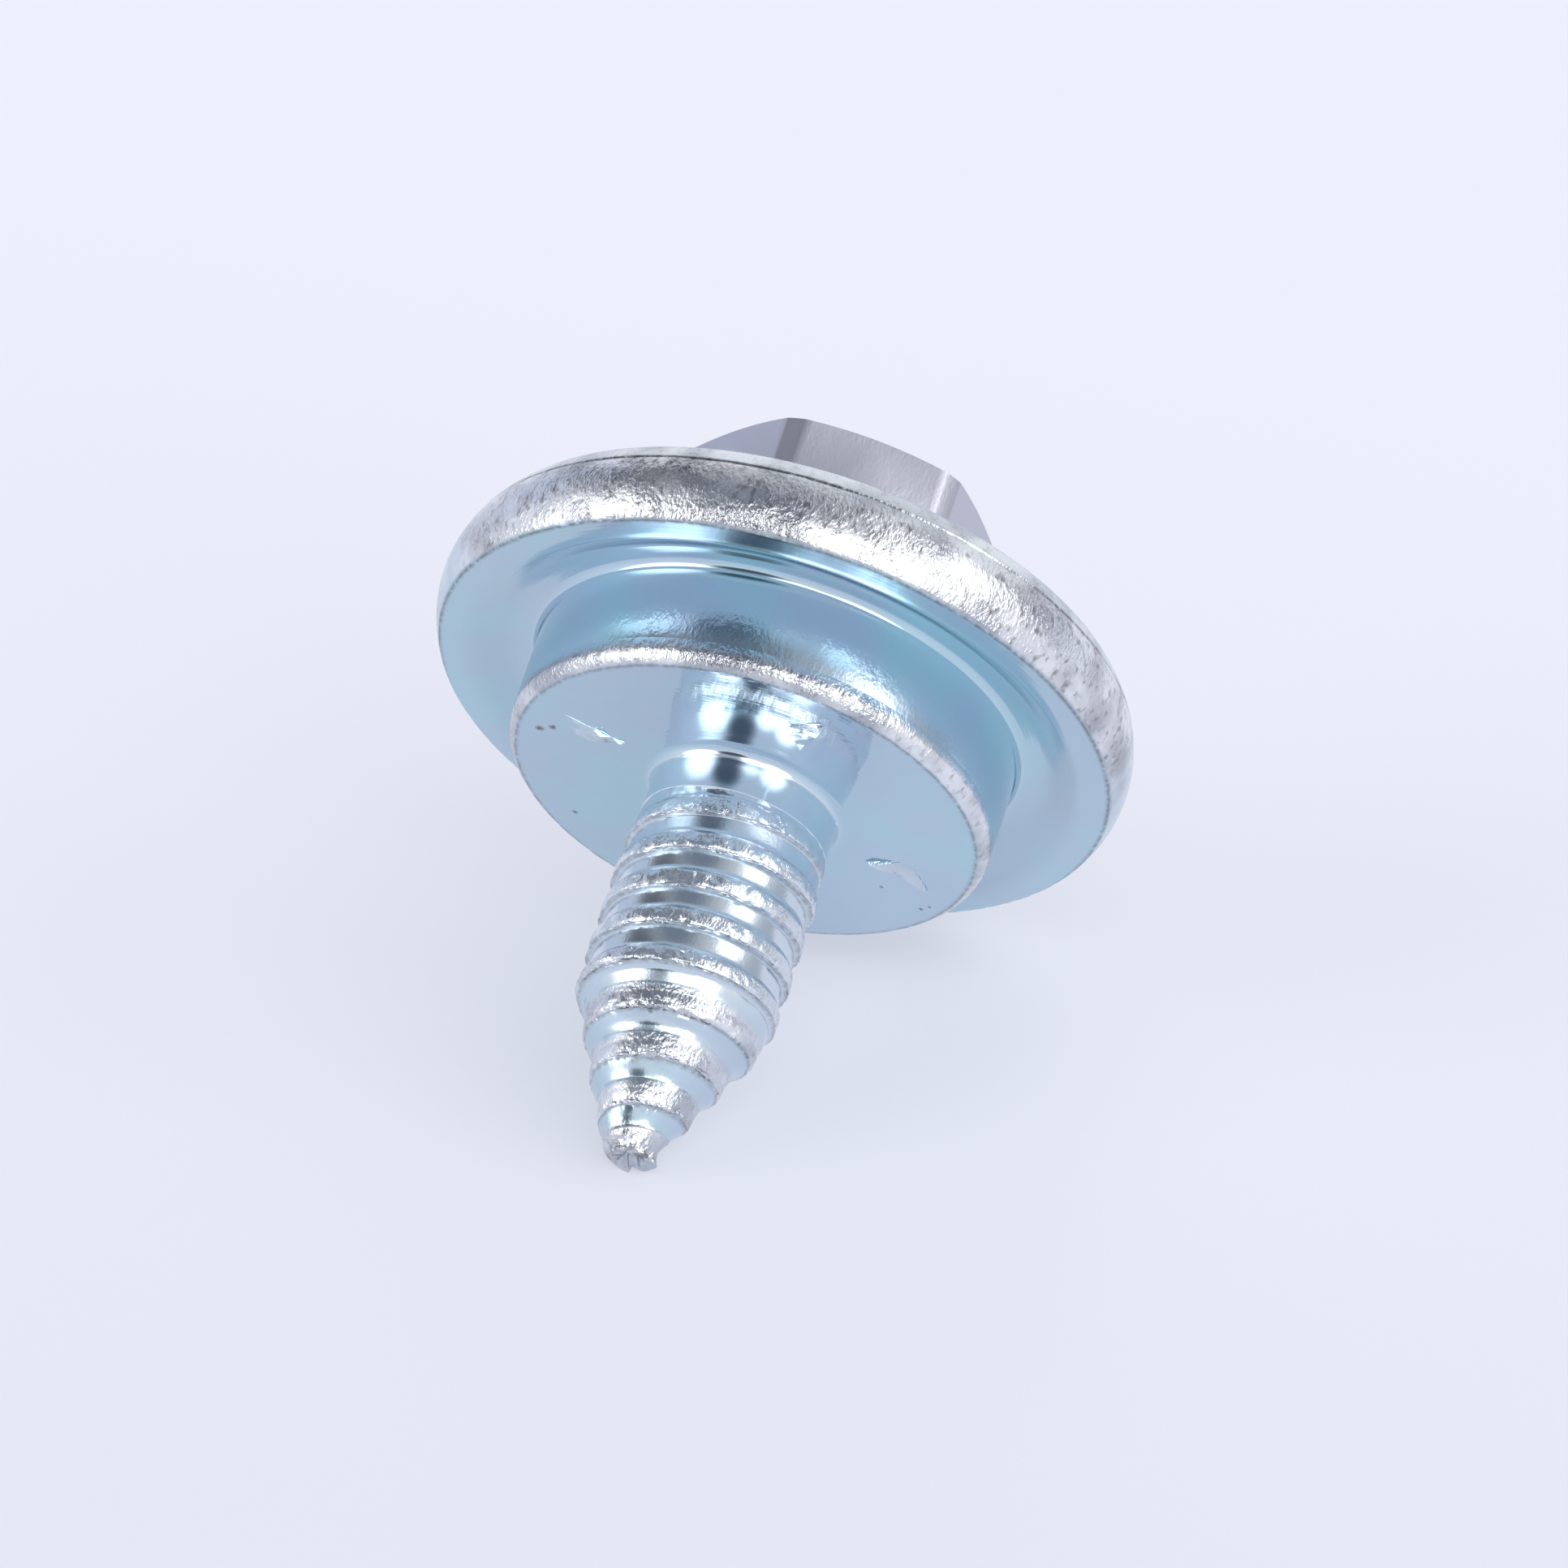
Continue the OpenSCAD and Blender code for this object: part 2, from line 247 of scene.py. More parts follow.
def is_upright(edge):
    a, b = (hexagon.data.vertices[i].co for i in edge.vertices)
    return abs(a.z - b.z) > 1


select_where(hexagon, "edges", is_upright)
bpy.ops.mesh.bevel(offset=HEX_BLUNT, offset_type="OFFSET", segments=6, profile=0.3)
bpy.ops.object.mode_set(mode="OBJECT")
print("six-sided stem:", len(hexagon.data.polygons), "faces")

# %% Its flared foot
FOOT_ROUND, FOOT_STEPS = 0.35, 6
select_where(hexagon, "polygons", lambda face: face.normal.z < -0.9)
widths = [FOOT_ROUND * (1 - math.cos(math.radians(90 * i / FOOT_STEPS))) for i in range(FOOT_STEPS + 1)]
drops = [FOOT_ROUND * math.sin(math.radians(90 * i / FOOT_STEPS)) for i in range(FOOT_STEPS + 1)]
for i in range(FOOT_STEPS):
    bpy.ops.mesh.extrude_region_move(TRANSFORM_OT_translate={"value": (0, 0, drops[i] - drops[i + 1])})
    grow = (HEX_CORNER + widths[i + 1]) / (HEX_CORNER + widths[i])
    bpy.ops.transform.resize(value=(grow, grow, 1), center_override=(0, 0, 0))
bpy.ops.object.mode_set(mode="OBJECT")
print("stem with its foot:", len(hexagon.data.polygons), "faces")

# %% The chamfer round the top, cut by a spun cap
def join(piece, other, operation):
    """Applies a boolean of piece with other, and takes other away."""
    bpy.ops.object.select_all(action="DESELECT")
    bpy.context.view_layer.objects.active = piece
    piece.select_set(True)
    modifier = piece.modifiers.new(operation.lower(), "BOOLEAN")
    modifier.operation, modifier.solver, modifier.object = operation, "EXACT", other
    bpy.ops.object.modifier_apply(modifier=modifier.name)
    bpy.data.objects.remove(other)


HEX_SOFT = 0.07
slope = math.tan(math.radians(HEX_CHAMFER))
cap_section = [(0, 1.5), (7, 1.5), (7, HEX_TOP - (7 - HEX_CAP_R) * slope)]
cap_section += bend(
    (HEX_CAP_R + 0.35, HEX_TOP - 0.35 * slope),
    (HEX_CAP_R, HEX_TOP),
    (HEX_CAP_R - 0.35, HEX_TOP),
    8,
)
cap_section += [(0, HEX_TOP)]
cap = draw_section("cap", cap_section)
spin_section(120)
join(hexagon, cap, "INTERSECT")
soft = hexagon.modifiers.new("soft_edges", "BEVEL")
soft.width, soft.segments = HEX_SOFT, 3
soft.limit_method, soft.angle_limit = "ANGLE", math.radians(35)
bpy.ops.object.modifier_apply(modifier=soft.name)
print("hexagon with chamfer:", len(hexagon.data.polygons), "faces")

# %% [markdown]
# ## Thread and point
# The thread was rolled: the blank was pressed between two dies, so its roots are smooth and
# its tops are rough lands with a ragged lip and a fine seam. On the round part of the shank
# the land is broad and falls off softly into a flat root, and on the point it narrows to an
# edge. One pitch of the section is drawn and wound up by the Screw modifier. Towards the
# point the roots and the tops close in together on a cone, and near the neck the thread fades
# into the plain shank. No taper tool does all this at once, so each vertex is moved by one
# rule.

# %% One pitch of the thread
CREST_R, ROOT_R, PITCH, THREAD_TURN = 2.725, 2.48, 1.18, math.radians(88)
SHANK, POINT_ANGLE, END_R, END_LIP = 11.4, 48, 0.55, 0.1
POINT_Z, NECK_END = FACE_Z - SHANK, FACE_Z - NECK_LENGTH
TURNS, THREAD_STEPS, ROOT_FILL = 9, 210, 0.28

# Each part of a pitch is a list of shares of that part's length and of the thread's height.
TAIL = [(0, 0.08), (0.2, 0.03), (0.6, 0.01), (0.85, 0), (1, 0)]
LOWER_FLANK = [(0.8, 0.1), (0.55, 0.32), (0.3, 0.62), (0.12, 0.82)]
LAND = [(0, 0.9), (0.06, 0.97), (0.14, 0.87), (0.24, 0.98), (0.45, 1), (0.7, 0.96), (0.9, 0.89), (1, 0.84)]
UPPER_FLANK = [(0.2, 0.69), (0.45, 0.42), (0.72, 0.19), (1, 0.08)]


def pitch_shares(bottom, lip, land):
    """Where the section's points lie over one pitch, for a root's bottom, a lip and a land."""
    shares = [t * bottom for t, _ in TAIL] + [lip - t * (lip - bottom) for t, _ in LOWER_FLANK]
    shares += [lip + t * land for t, _ in LAND]
    return np.array(shares + [lip + land + t * (1 - lip - land) for t, _ in UPPER_FLANK])


round_shares = pitch_shares(bottom=0.37, lip=0.42, land=0.4)
point_shares = pitch_shares(bottom=0.08, lip=0.45, land=0.1)
row_heights = np.array([h for _, h in TAIL + LOWER_FLANK + LAND + UPPER_FLANK])
print("points of one pitch:", len(row_heights))

# %% Winding it up
thread_section = [
    (ROOT_R + h * (CREST_R - ROOT_R), POINT_Z + s * PITCH)
    for s, h in zip(round_shares, row_heights)
]
thread = draw_section("thread", thread_section, THREAD_TURN)
bpy.ops.object.mode_set(mode="OBJECT")
wind = thread.modifiers.new("wind", "SCREW")
wind.axis, wind.angle, wind.screw_offset, wind.iterations = "Z", 2 * math.pi, PITCH, TURNS
wind.steps = wind.render_steps = THREAD_STEPS
bpy.ops.object.modifier_apply(modifier=wind.name)
print("wound thread:", len(thread.data.polygons), "faces")

# %% Helpers for moving points by rule
def points_of(piece):
    """The piece's vertices as rows of x, y and z."""
    places = np.empty(3 * len(piece.data.vertices), np.float32)
    piece.data.vertices.foreach_get("co", places)
    return places.reshape(-1, 3).astype(float)


def move_points(piece, places):
    """Sets the piece's vertices to those places."""
    piece.data.vertices.foreach_set("co", places.astype(np.float32).ravel())
    piece.data.update()


def wobble(places, size, offset):
    """Smooth noise from -1 to 1 at each place, with lumps of about that size."""
    shift = Vector((offset, 0.37 * offset, -0.61 * offset))
    return np.array([noise.noise(Vector(p) / size + shift) for p in places])


def ramp(value, low, high):
    """0 below low, 1 above high, and soft between them."""
    t = np.clip((value - low) / (high - low), 0, 1)
    return t * t * (3 - 2 * t)


print("points of the wound thread:", len(points_of(thread)))

# %% Where each point lies: its turn, its row and its height
places = points_of(thread)
angle = np.arctan2(places[:, 1], places[:, 0])
up = (places[:, 2] - POINT_Z) / PITCH
part_turn = ((angle - THREAD_TURN) / (2 * math.pi)) % 1
turns = part_turn + np.floor(up - part_turn + 1e-4)
row = np.abs((up - turns)[:, None] - round_shares[None, :]).argmin(axis=1)
height = row_heights[row]
print("rows of the section:", len(row_heights), "turns:", round(float(turns.max()), 2))

# %% The land narrows, the point closes in, the neck end fades, and the tops turn ragged
cone = math.tan(math.radians(POINT_ANGLE / 2))
cone_start = POINT_Z + (CREST_R - END_R - END_LIP) / cone


def top_radius(z):
    """Radius of the thread's tops at that height."""
    return np.minimum(CREST_R, END_R + END_LIP + (z - POINT_Z) * cone)


def groove_radius(z):
    """Radius of the thread's roots at that height."""
    share = np.clip((z - POINT_Z) / (cone_start - POINT_Z), 0, 1)
    return np.minimum(END_R + (ROOT_R - END_R) * share, top_radius(z))


broad = np.clip((POINT_Z + turns * PITCH - cone_start) / PITCH / 2 + 1, 0, 1)
z = POINT_Z + PITCH * (turns + point_shares[row] + broad * (round_shares - point_shares)[row])
height += broad * ROOT_FILL * (1 - height)
on_land = ramp(height, 0.7, 0.85)
rise = np.clip(turns / 0.5, 0, 1)
lumps = 0.05 * np.clip(0.2 + wobble(places, 0.33, 3.1), 0, 1)
lumps += 0.045 * np.clip(wobble(places, 0.16, 8.4), 0, 1)
groove = groove_radius(z)
full = groove + height * rise * (top_radius(z) - groove) - on_land * lumps * np.clip(rise, 0.3, 1)
start = NECK_END + 0.06 + 0.1 * wobble(places, 0.5, 5.7)
fade = np.clip((start - z) / PITCH, 0, 1)
new_radius = NECK_R + fade * (full - NECK_R) + 0.03 * wobble(places, 0.3, 6.6) * (fade < 0.3)
new_radius -= 0.5 * ramp(z, start, start + 0.15)
places = np.column_stack((new_radius * np.cos(angle), new_radius * np.sin(angle), z))
places[:, 2] += on_land * fade * (0.05 * wobble(places, 0.45, 1.3) + 0.025 * wobble(places, 0.17, 2.9))
move_points(thread, places)
print("thread tops, mm:", round(float(new_radius.max()), 3), "cone starts at:", round(cone_start, 3))

# %% Closing both ends of the winding
def close_end(test, target):
    """Extrudes the open edge of one end and merges it to one point at the target."""
    bpy.ops.object.mode_set(mode="EDIT")
    bpy.ops.mesh.select_mode(type="VERT")
    bpy.ops.mesh.select_all(action="SELECT")
    bpy.ops.mesh.remove_doubles(threshold=CLOSE)
    bpy.ops.mesh.select_all(action="DESELECT")
    bpy.ops.mesh.select_non_manifold(extend=False, use_wire=False, use_multi_face=False, use_verts=False)
    bpy.ops.object.mode_set(mode="OBJECT")
    for vertex in thread.data.vertices:
        vertex.select = vertex.select and test(vertex.co)
    for edge in thread.data.edges:
        edge.select = edge.select and all(thread.data.vertices[i].select for i in edge.vertices)
    bpy.ops.object.mode_set(mode="EDIT")
    bpy.ops.mesh.select_mode(type="EDGE")
    bpy.ops.mesh.extrude_edges_move()
    bpy.ops.mesh.select_mode(type="VERT")
    bpy.ops.mesh.merge(type="CENTER")
    bpy.ops.object.mode_set(mode="OBJECT")
    end = next(vertex for vertex in thread.data.vertices if vertex.select)
    end.co = target


close_end(lambda co: co.z < POINT_Z + 2 * PITCH, (0, 0, POINT_Z + 0.3))
close_end(lambda co: co.z > FACE_Z - PITCH, (0, 0, FACE_Z + 0.1))
bpy.ops.object.mode_set(mode="EDIT")
bpy.ops.mesh.select_all(action="SELECT")
bpy.ops.mesh.normals_make_consistent(inside=False)
bpy.ops.object.mode_set(mode="OBJECT")
print("closed thread:", len(thread.data.vertices), "vertices")

# %% The blunt core of the point, pinched off with a small crater
CORE_TOP = POINT_Z + 1.5 * PITCH
core_section = [(0, POINT_Z + 0.24), (0.16, POINT_Z + 0.2), (0.3, POINT_Z + 0.06), (0.4, POINT_Z + 0.01)]
core_section += bend((0.45, POINT_Z), (END_R, POINT_Z), (END_R + 0.02, POINT_Z + 0.14), 6)
core_section += [(groove_radius(z) - 0.02, z) for z in np.linspace(POINT_Z + 0.25, CORE_TOP, 14)]
core_section += [(0, CORE_TOP)]
core = draw_section("point_core", [(float(r), float(z)) for r, z in core_section])
spin_section(72)
places = points_of(core)
at_end = ramp(-places[:, 2], -POINT_Z - 0.6, -POINT_Z - 0.05)
bite = np.clip(0.35 + wobble(places, 0.4, 4.2), 0, 1)
chewed = at_end * (0.065 + 0.1 * bite + 0.06 * np.clip(wobble(places, 0.17, 9.1), 0, 1))
places[:, 2] += chewed
places[:, :2] *= 1 + (at_end * (0.14 - 0.7 * chewed + 0.24 * wobble(places, 0.3, 2.7)))[:, None]
places[:, 0] += 0.16 * at_end
places[:, 1] += 0.06 * at_end
move_points(core, places)
print("core of the point, mm:", round(float(places[:, 2].min() - POINT_Z), 3), "above the end")

# %% [markdown]
# ## Locking nibs
# Four small nibs stand on the collar's face and bite into the part that is clamped. Each is
# a ramp with a triangular foot and a steep side along the radius. It could be raised from the
# face itself, but a wedge that is joined later leaves the turned body clean. One is shaped
# from a cube, by squeezing its far side to a corner that sinks into the face, and its edges
# are worn a little. The others are copies round the axis, each with its own mesh, and each is
# worn down in other places.

# %% One nib
NIB_COUNT, NIB_TURN, NIB_R = 4, 35, (NECK_R + NECK_FILLET + face_r) / 2
NIB_LENGTH, NIB_WIDTH, NIB_HEIGHT = 2.2, 0.9, 0.14
bpy.ops.object.select_all(action="DESELECT")
bpy.ops.mesh.primitive_cube_add(size=1, location=(NIB_R, -NIB_WIDTH / 2, FACE_Z))
nib = bpy.context.object
nib.name = "nib"
nib.scale = (NIB_LENGTH, NIB_WIDTH, 2 * NIB_HEIGHT)
bpy.ops.object.transform_apply(location=True, rotation=True, scale=True)
select_where(nib, "vertices", lambda vertex: vertex.co.y < -NIB_WIDTH / 2)
bpy.ops.transform.resize(value=(0.08, 1, 1), center_override=(NIB_R, 0, 0))
bpy.ops.object.mode_set(mode="OBJECT")
select_where(nib, "vertices", lambda vertex: vertex.co.y < -NIB_WIDTH / 2 and vertex.co.z < FACE_Z)
bpy.ops.transform.translate(value=(0, 0, NIB_HEIGHT + 0.02))
bpy.ops.object.mode_set(mode="OBJECT")
select_where(nib, "vertices", lambda vertex: vertex.co.y > -0.01 and vertex.co.z < FACE_Z)
bpy.ops.transform.resize(value=(0.75, 1, 1), center_override=(NIB_R, 0, 0))
bpy.ops.transform.translate(value=(0, -0.06, 0))
bpy.ops.mesh.select_mode(type="FACE")
bpy.ops.mesh.select_all(action="SELECT")
bpy.ops.mesh.subdivide(number_cuts=5)
bpy.ops.transform.vertex_random(offset=0.01, seed=4)
bpy.ops.object.mode_set(mode="OBJECT")
print("nib:", len(nib.data.polygons), "faces")

# %% Its copies round the axis
nibs = [nib]
for i in range(1, NIB_COUNT):
    other = nib.copy()
    other.data = nib.data.copy()
    other.rotation_euler.z = math.radians(i * 360 / NIB_COUNT)
    bpy.context.collection.objects.link(other)
    nibs.append(other)
for other in nibs:
    other.rotation_euler.z += math.radians(NIB_TURN)
    bpy.ops.object.select_all(action="DESELECT")
    other.select_set(True)
    bpy.context.view_layer.objects.active = other
    bpy.ops.object.transform_apply(location=True, rotation=True, scale=True)
    places = points_of(other)
    proud = np.minimum(places[:, 2] - FACE_Z, 0)
    left = np.clip(0.55 + 1.4 * wobble(places * (1, 1, 0), 0.3, 7.3), 0.08, 1)
    places[:, 2] += proud * (left - 1)
    move_points(other, places)
print("nibs:", len(nibs))

# %% [markdown]
# ## One piece of steel
# The real screw has no seams. Pieces that only overlap would do for one picture, but they
# leave hidden faces inside, so boolean unions join them into one closed shell. Before that
# the seat's edge gets its fine burr, as the trimming die left it.

# %% The burr along the seat's edge and the face's edge, and the uneven groove
BURR = 0.014
places = points_of(body)
radius = np.hypot(places[:, 0], places[:, 1])
at_seat = np.exp(-(((radius - seat_r) / 0.06) ** 2) - (places[:, 2] / 0.06) ** 2)
at_face = np.exp(-(((radius - face_r) / 0.05) ** 2) - ((places[:, 2] - FACE_Z) / 0.05) ** 2)
at_groove = np.exp(-(((radius - rim_groove[0]) / 0.03) ** 2) - ((places[:, 2] - rim_groove[1]) / 0.05) ** 2)
nicked = BURR * np.clip(0.2 + wobble(places, 0.25, 2.2), 0, 1)
shrink = 1 - (at_seat + at_face) * nicked / np.maximum(radius, 1)
places[:, 0] *= shrink
places[:, 1] *= shrink
places[:, 2] += (at_seat + at_face) * nicked + at_groove * 0.05 * wobble(places, 0.9, 5.1)
move_points(body, places)
print("burr, mm:", round(float(((at_seat + at_face) * nicked).max()), 4))

# %% The unions
for other in (hexagon, thread, core, *nibs):
    join(body, other, "UNION")
bpy.ops.object.mode_set(mode="EDIT")
bpy.ops.mesh.select_all(action="SELECT")
bpy.ops.mesh.remove_doubles(threshold=CLOSE)
bpy.ops.mesh.dissolve_degenerate(threshold=CLOSE)
bpy.ops.mesh.quads_convert_to_tris()
bpy.ops.object.mode_set(mode="OBJECT")
print("screw:", len(body.data.polygons), "triangles")

# %% [markdown]
# ## Painting the zones
# Four values on the vertices tell the plating where it is what. Grain is 1 where the die
# left the steel rough, on the rim, the collar's corner and the thread's tops. Satin is 1
# where the steel is dull but even, on the hexagon. The dark-line value is 1 in the fine dark
# lines that follow the edges; along the seat's edge and in the rim's groove, on the side that
# faces the camera, these lines are painted dark reflection and painted shade. Pale is 1 on
# the shank, where rolling the thread left a film with less blue. The rim is smoother at its
# two far ends and on a strip of its shoulder. A painted
# image could hold the zones, but values on the vertices need no unwrapping and follow the
# shape by rule.

# %% Grain
places = points_of(body)
radius = np.hypot(places[:, 0], places[:, 1])
angle = np.degrees(np.arctan2(places[:, 1], places[:, 0]))
z = places[:, 2]
FRONT, LIP_AT = -70, 0.43
from_front = np.abs((angle - FRONT + 180) % 360 - 180)
on_shank = z < NECK_END - 0.05
rim = ramp(radius, 8.95, 9.1) * ramp(z, 0.0, 0.1) * (1 - 0.5 * ramp(from_front, 65, 85))
strip = np.maximum(ramp(z, 1.5, 1.75) * (1 - ramp(np.abs(angle + 62), 14, 38)), ramp(z, 1.96, 2.02))
corner = ramp(radius, face_r - 0.02, face_r + 0.06) * ramp(-z, 1.9, 2.3)
from_lip = (z - POINT_Z) / PITCH - ((np.radians(angle) - THREAD_TURN) / (2 * math.pi)) % 1 - LIP_AT
from_lip -= np.floor(from_lip)
reach = 0.38 + 0.12 * (1 - ramp(z, cone_start - 0.5, cone_start + 0.5))
crests = on_shank * (1 - ramp(from_lip - reach, 0, 0.14)) * ramp(-z, -NECK_END, -NECK_END + 0.3)
tip = ramp(-z, -POINT_Z - 1.0, -POINT_Z - 0.4)
on_nib = (z < FACE_Z - 0.015) * ramp(radius, NECK_R + NECK_FILLET, NECK_R + NECK_FILLET + 0.1)
on_wall = (np.abs(radius - COLLAR_R) < 0.05) * ramp(-z, 0.0, 0.4)
on_top = ramp(z, FLANGE_TOP - 0.1, FLANGE_TOP + 0.05)
grain = rim * (1 - 0.2 * strip) * (1 - on_top) + 0.85 * corner + 0.75 * crests + 0.6 * tip + 0.6 * on_nib
grain = np.clip(grain + 0.2 * on_wall + 0.15 * on_top + 0.1 * on_shank, 0, 1)
print("grainy share:", round(float(grain.mean()), 3))

# %% Satin, dark lines with painted shade, and pale
under = ramp(radius, COLLAR_R, COLLAR_R + 0.2) * (z < HOLLOW + 0.05)
below_face = z < FACE_Z - 0.2
satin = on_top + 0.3 * on_wall + 0.25 * under + 0.25 * below_face + 0.15 * on_shank + 0.4 * crests
satin = np.clip(satin, 0, 1)
# Painted dark reflection: a dark line along the seat's edge, laid only on the side that faces the camera,
# where the edge mirrors the dark room beside the camera.
seat_edge_painted_reflection = np.exp(-(((radius - seat_r) / 0.06) ** 2) - (z / 0.06) ** 2) * (1 - ramp(from_front, 95, 120))
edge_face = np.exp(-(((radius - face_r) / 0.05) ** 2) - ((z - FACE_Z) / 0.05) ** 2)
lip = on_shank * (1 - ramp(np.minimum(from_lip, (1 - from_lip) / 2), 0.01, 0.035))
# Painted shade: a dark line in the rim's groove under its top edge, laid only on the side that faces the
# camera.
groove_painted_shade = np.exp(-(((radius - rim_groove[0]) / 0.05) ** 2) - ((z - rim_groove[1]) / 0.08) ** 2)
groove_painted_shade *= (1 - ramp(from_front, 75, 110)) * np.clip(0.6 + 0.8 * wobble(places, 1.3, 3.3), 0, 1)
# The dark lines: painted dark reflection at the seat's edge, painted shade in the rim's groove, and plain
# dark lines at the face's edge, along the thread's lip and on the point.
grime = np.clip(0.7 * seat_edge_painted_reflection + 0.5 * edge_face + 0.9 * groove_painted_shade + 0.4 * lip + 0.15 * tip, 0, 1)
pale = ramp(-z, -FACE_Z + 0.02, -FACE_Z + 0.3) * (0.3 + 0.7 * ramp(z, cone_start - 1, cone_start + 0.5))
for name, values in (("grain", grain), ("satin", satin), ("grime", grime), ("pale", pale)):
    attribute = body.data.attributes.new(name, "FLOAT", "POINT")
    attribute.data.foreach_set("value", values.astype(np.float32))
print("satin share:", round(float(satin.mean()), 3), "grimy share:", round(float(grime.mean()), 3))

# %% [markdown]
# ## Into its place
# The finished mesh is scaled to metres, tipped over and set down on the rim of its flange
# and on its point. The move could stay on the object, but it is applied, so that the object
# sits at the origin with its place in its mesh, as the solid model's does.

# %% Tipping over
SMOOTH_UP_TO = math.radians(26)
bpy.ops.object.select_all(action="DESELECT")
body.select_set(True)
bpy.context.view_layer.objects.active = body
body.scale = (MM, MM, MM)
body.rotation_euler = (TILT - math.pi / 2, 0, 0)
body.location = SEAT
bpy.ops.object.transform_apply(location=True, rotation=True, scale=True)
bpy.ops.object.shade_smooth_by_angle(angle=SMOOTH_UP_TO)
print("lowest point, mm:", round(1000 * min(v.co.z for v in body.data.vertices), 3))

# %% [markdown]
# ## Blue-white zinc plate
# Bright zinc with a clear blue passivation: a pale mirror, a little cool, with faint violet
# and teal where the film is thicker. On the die-struck zones the plate is rough and sparkles
# in a warmer grey. One even metal would look like chrome, so tint, gloss and relief each
# follow the painted zones. The pattern is worked out in the screw's own frame, in
# millimetres.

# %% Zinc plate: helpers
def linear(code):
    """An sRGB hex colour as linear red, green, blue and alpha."""
    parts = [int(code[i : i + 2], 16) / 255 for i in (1, 3, 5)]
    return (*[p / 12.92 if p <= 0.04045 else ((p + 0.055) / 1.055) ** 2.4 for p in parts], 1)


def add(tree, kind, inputs=None, out=None, **settings):
    """Adds a node with its settings, values and links, and gives its output."""
    node = tree.nodes.new(kind)
    for name, value in settings.items():
        setattr(node, name, value)
    for name, value in (inputs or {}).items():
        socket = node.inputs[name] if isinstance(name, int) else next(
            s for s in node.inputs if s.enabled and s.name == name
        )
        if isinstance(value, bpy.types.NodeSocket):
            tree.links.new(value, socket)
        else:
            socket.default_value = value
    return next(s for s in node.outputs if s.enabled and out in (None, s.name))


print("white in linear values:", linear("#FFFFFF"))

# %% Zinc plate: the screw's own frame and the painted zones
zinc = bpy.data.materials.new("zinc_plate_blue_passivated")
zinc.use_nodes = True
tree = zinc.node_tree
shader = tree.nodes["Principled BSDF"]
place = add(tree, "ShaderNodeTexCoord", out="Object")
own = add(
    tree,
    "ShaderNodeMapping",
    {"Vector": place, "Location": SEAT, "Rotation": (TILT - math.pi / 2, 0, 0), "Scale": (MM, MM, MM)},
    vector_type="TEXTURE",
)
grain_value = add(tree, "ShaderNodeAttribute", out="Fac", attribute_name="grain")
satin_value = add(tree, "ShaderNodeAttribute", out="Fac", attribute_name="satin")
dark_lines_and_shade_value = add(tree, "ShaderNodeAttribute", out="Fac", attribute_name="grime")
pale_value = add(tree, "ShaderNodeAttribute", out="Fac", attribute_name="pale")
flat = add(tree, "ShaderNodeVectorMath", {0: own, 1: (1, 1, 0)}, operation="MULTIPLY")
from_axis = add(tree, "ShaderNodeVectorMath", {0: flat}, out="Value", operation="LENGTH")
print("zinc plate nodes:", len(tree.nodes))

# %% Zinc plate: colour of the smooth and the satin zones
# The film's tints lie in patches of about 4 mm.
film = add(tree, "ShaderNodeTexNoise", {"Vector": own, "Scale": 1 / 4, "Detail": 2.0}, out="Fac")
smooth_tint = add(tree, "ShaderNodeValToRGB", {"Fac": film}, out="Color")
violet, teal = smooth_tint.node.color_ramp.elements
violet.position, violet.color = 0.38, linear("#C0D2E1")
teal.position, teal.color = 0.6, linear("#BBD8E3")
dull = add(tree, "ShaderNodeMapRange", {"Value": satin_value, "From Min": 0.5})
even_tint = add(
    tree, "ShaderNodeMix", {"Factor": dull, "A": smooth_tint, "B": linear("#C7C7D2")}, data_type="RGBA"
)
print("zinc plate nodes:", len(tree.nodes))

# %% Zinc plate: colour of the grain
# The grain is about 0.08 mm, its dark pits are about 0.2 mm apart, and its cloudy patches
# are about 1.5 mm. The die drew the grain out a little along the axis.
drawn = add(tree, "ShaderNodeVectorMath", {0: own, 1: (1, 1, 0.6)}, operation="MULTIPLY")
grit = add(tree, "ShaderNodeTexNoise", {"Vector": drawn, "Scale": 1 / 0.08, "Detail": 2.0}, out="Fac")
pits = add(tree, "ShaderNodeTexNoise", {"Vector": drawn, "Scale": 1 / 0.2, "Detail": 3.0}, out="Fac")
cloud = add(tree, "ShaderNodeTexNoise", {"Vector": own, "Scale": 1 / 1.5, "Detail": 4.0}, out="Fac")
clouded = add(tree, "ShaderNodeMapRange", {"Value": cloud, "From Min": 0.35, "From Max": 0.6})
grain_tint = add(
    tree,
    "ShaderNodeMix",
    {"Factor": clouded, "A": linear("#B4B6BE"), "B": linear("#ECEEF3")},
    data_type="RGBA",
)
coarse_only = add(tree, "ShaderNodeMapRange", {"Value": grain_value, "From Min": 0.6, "To Max": 0.6})
pit = add(tree, "ShaderNodeMapRange", {"Value": pits, "From Min": 0.55, "From Max": 0.7})
pitted = add(tree, "ShaderNodeMath", {0: pit, 1: coarse_only}, operation="MULTIPLY")
grain_pitted = add(
    tree, "ShaderNodeMix", {"Factor": pitted, "A": grain_tint, "B": linear("#65605F")}, data_type="RGBA"
)
bared = add(tree, "ShaderNodeMapRange", {"Value": grain_value, "From Min": 0.35, "From Max": 0.9})
bare = add(tree, "ShaderNodeMix", {"Factor": bared, "A": even_tint, "B": grain_pitted}, data_type="RGBA")
paler = add(tree, "ShaderNodeMath", {0: pale_value, 1: 0.75}, operation="MULTIPLY")
bare = add(tree, "ShaderNodeMix", {"Factor": paler, "A": bare, "B": linear("#E1E9F1")}, data_type="RGBA")
print("zinc plate nodes:", len(tree.nodes))
